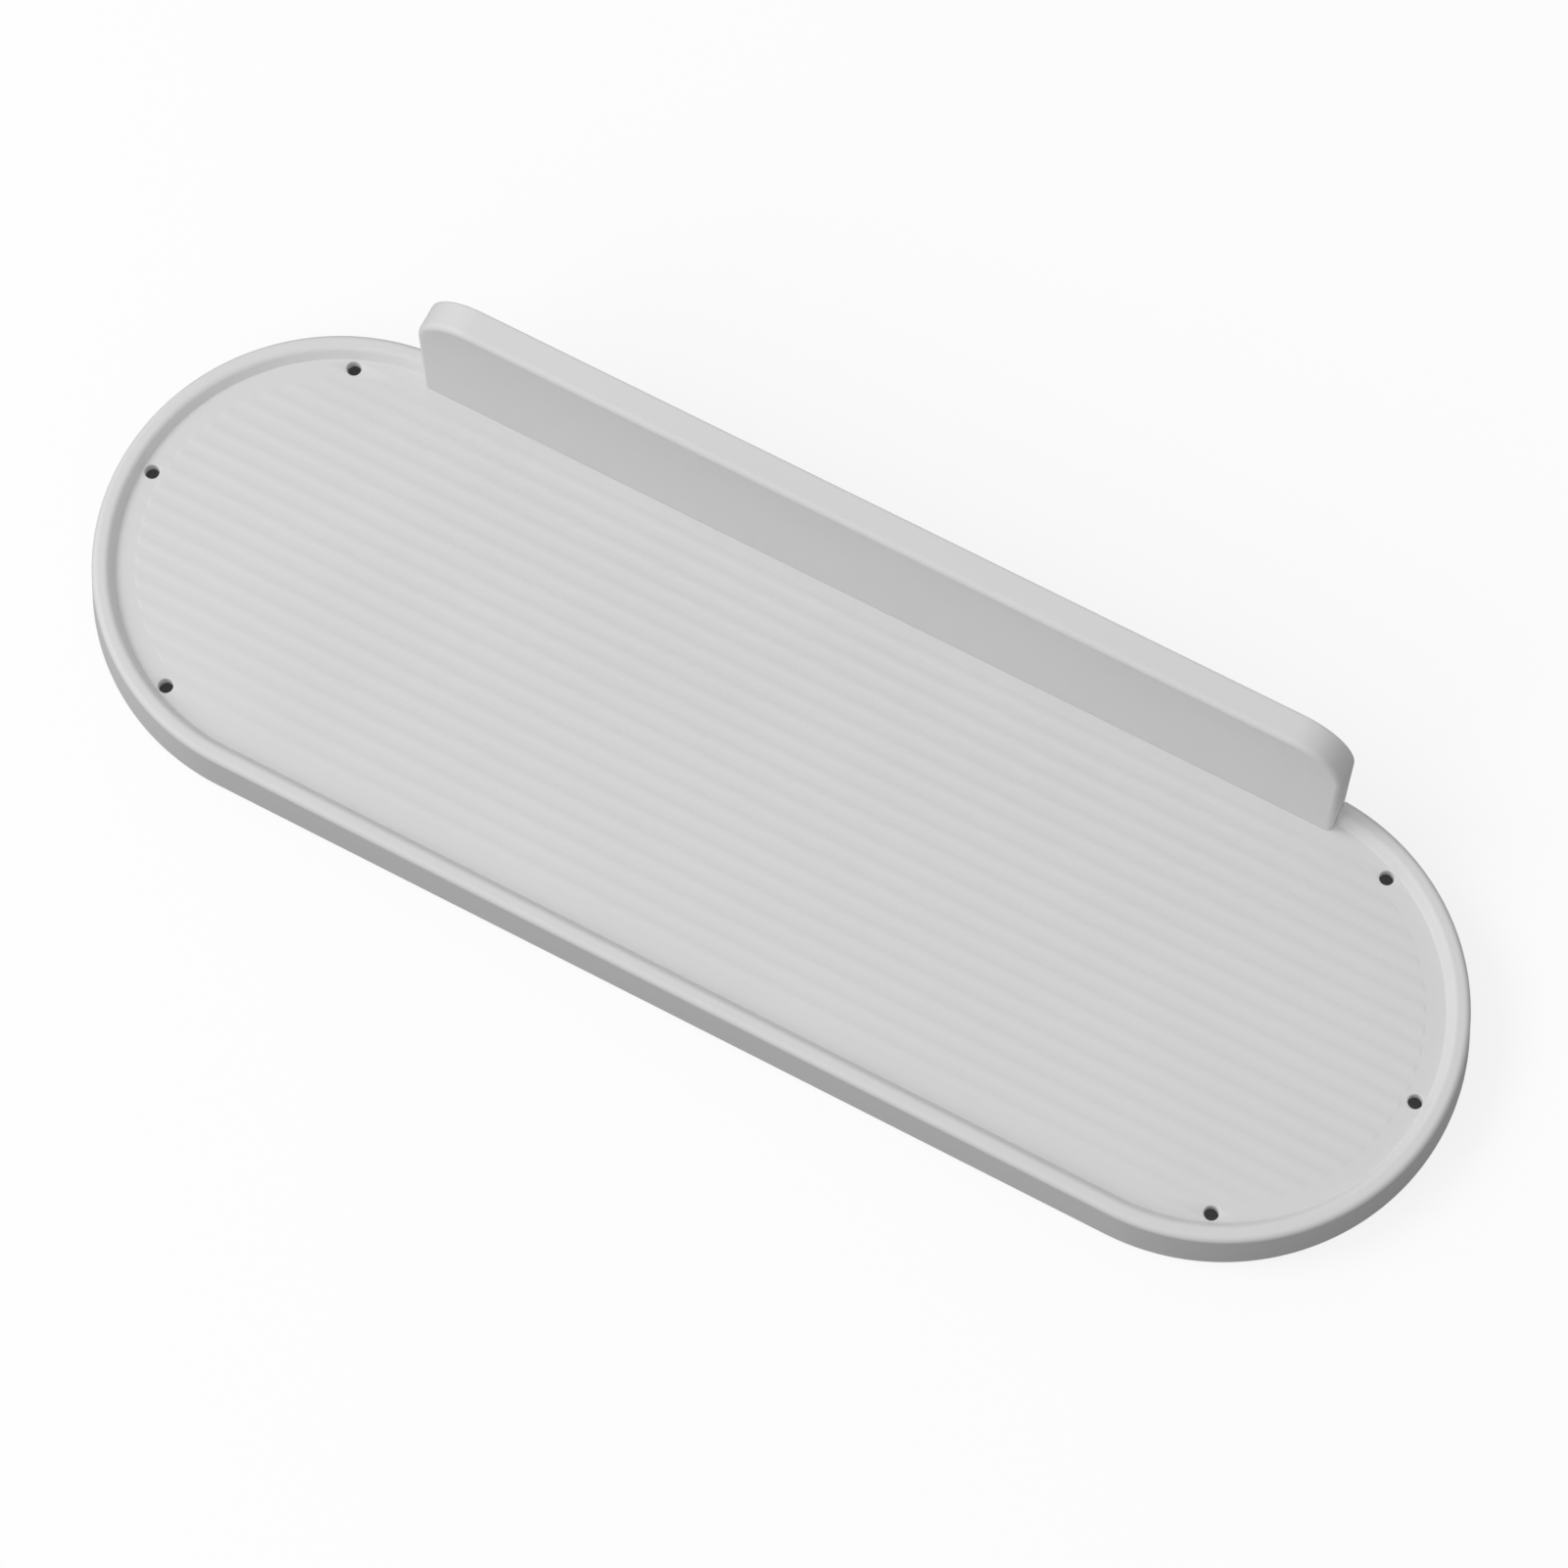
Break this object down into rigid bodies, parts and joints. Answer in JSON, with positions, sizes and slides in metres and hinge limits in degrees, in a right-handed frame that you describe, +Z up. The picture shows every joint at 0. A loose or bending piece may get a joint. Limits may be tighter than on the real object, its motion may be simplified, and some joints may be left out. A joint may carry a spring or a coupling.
{
  "type": "wall shelf",
  "caption": "Obround wall shelf with a coved rim, a ribbed floor and drain holes, whose hollow upstand hangs on a stick-on wall plate and lifts off.",
  "frame": {"origin": "middle of the middle adhesive pad, on the face that meets the wall", "axes": "+X along the shelf, +Y into the wall, +Z up"},
  "size_m": [0.3, 0.1006, 0.047],
  "materials": {
    "shelf_plastic": "fine matt moulded surface",
    "plate_plastic": "plain moulded surface",
    "adhesive_foam": "soft acrylic foam",
    "screw_steel": "zinc plated"
  },
  "bodies": {
    "wall_mount": {"wall_plate": "plate_plastic", "adhesive_pad_left": "adhesive_foam", "adhesive_pad_middle": "adhesive_foam", "adhesive_pad_right": "adhesive_foam"},
    "shelf": {"tray": "shelf_plastic", "upstand": "shelf_plastic", "upstand_screws": "screw_steel"}
  },
  "joints": [
    {"name": "shelf_lift", "type": "slide", "parent": "wall_mount", "child": "shelf", "axis": [0, 0, 1], "range_m": [0, 0.01]}
  ]
}
